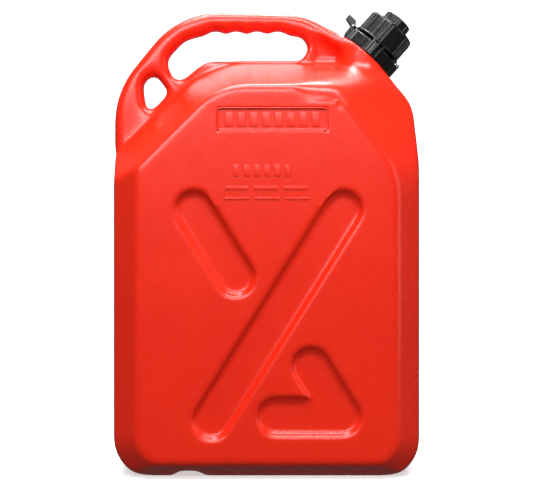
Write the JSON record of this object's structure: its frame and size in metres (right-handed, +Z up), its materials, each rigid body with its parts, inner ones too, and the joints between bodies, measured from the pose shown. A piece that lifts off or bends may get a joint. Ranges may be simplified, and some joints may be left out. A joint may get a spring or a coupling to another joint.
{
  "type": "jerry can",
  "caption": "Upright plastic fuel can with an integral finger-grip handle, a slanted neck, and a clamped closure with a stored pouring spout, cap, vent knob and lock lever.",
  "frame": {"origin": "centre of the whole part's footprint box, on the ground it stands on", "axes": "+Z up; +X along the front panel towards the neck; -Y is the front panel's outward side"},
  "size_m": [0.3264, 0.1758, 0.4916],
  "materials": {
    "red_plastic": "blow-moulded polyethylene, soft gloss with fine orange peel",
    "black_plastic": "injection-moulded, satin, fine mould grain",
    "seal_rubber": "nitrile rubber, dull",
    "liner_foam": "closed-cell foam sheet",
    "natural_plastic": "unpigmented polyethylene, cloudy",
    "wire_steel": "drawn stainless steel"
  },
  "bodies": {
    "can": {"can_body": "red_plastic"},
    "closure": {"neck_gasket": "seal_rubber", "spout_base": "black_plastic", "spout_seal": "seal_rubber"},
    "collar": {"locking_collar": "black_plastic", "lock_lever_pin": "wire_steel", "lock_lever_spring": "wire_steel"},
    "lever": {"lock_lever": "black_plastic"},
    "spout": {"pour_spout": "black_plastic", "spout_o_ring": "seal_rubber", "strainer": "wire_steel", "breather_tube": "natural_plastic"},
    "liner": {"cap_liner": "liner_foam"},
    "cap": {"main_cap": "black_plastic"},
    "vent": {"vent_seal": "seal_rubber"},
    "knob": {"vent_knob": "black_plastic"}
  },
  "joints": [
    {"name": "closure_lift", "type": "slide", "parent": "can", "child": "closure", "axis": [0.6665, 0, 0.7455], "range_m": [0, 0.2]},
    {"name": "collar_turn", "type": "hinge", "parent": "closure", "child": "collar", "pos_m": [0.1163, 0, 0.4518], "axis": [0.6665, 0, 0.7455], "range_deg": [0, 450]},
    {"name": "lever_pull", "type": "hinge", "parent": "collar", "child": "lever", "pos_m": [0.09359, 0, 0.47546], "axis": [0, -1, 0], "range_deg": [-15, 0], "stiffness_Nm_per_rad": 0.05, "springref_deg": 11.46},
    {"name": "spout_lift", "type": "slide", "parent": "closure", "child": "spout", "axis": [0.6665, 0, 0.7455], "range_m": [0, 0.2]},
    {"name": "cap_lift", "type": "slide", "parent": "spout", "child": "liner", "axis": [0.6665, 0, 0.7455], "range_m": [0, 0.06]},
    {"name": "cap_turn", "type": "hinge", "parent": "liner", "child": "cap", "pos_m": [0.1163, 0, 0.4518], "axis": [0.6665, 0, 0.7455], "range_deg": [0, 720]},
    {"name": "vent_rise", "type": "slide", "parent": "cap", "child": "vent", "axis": [0.6665, 0, 0.7455], "range_m": [0, 0.004]},
    {"name": "vent_turn", "type": "hinge", "parent": "vent", "child": "knob", "pos_m": [0.1163, 0, 0.4518], "axis": [0.6665, 0, 0.7455], "range_deg": [0, 360]}
  ],
  "couplings": [
    {"joint": "vent_turn", "follows": "vent_rise", "rad_per_m": 1570.8}
  ]
}
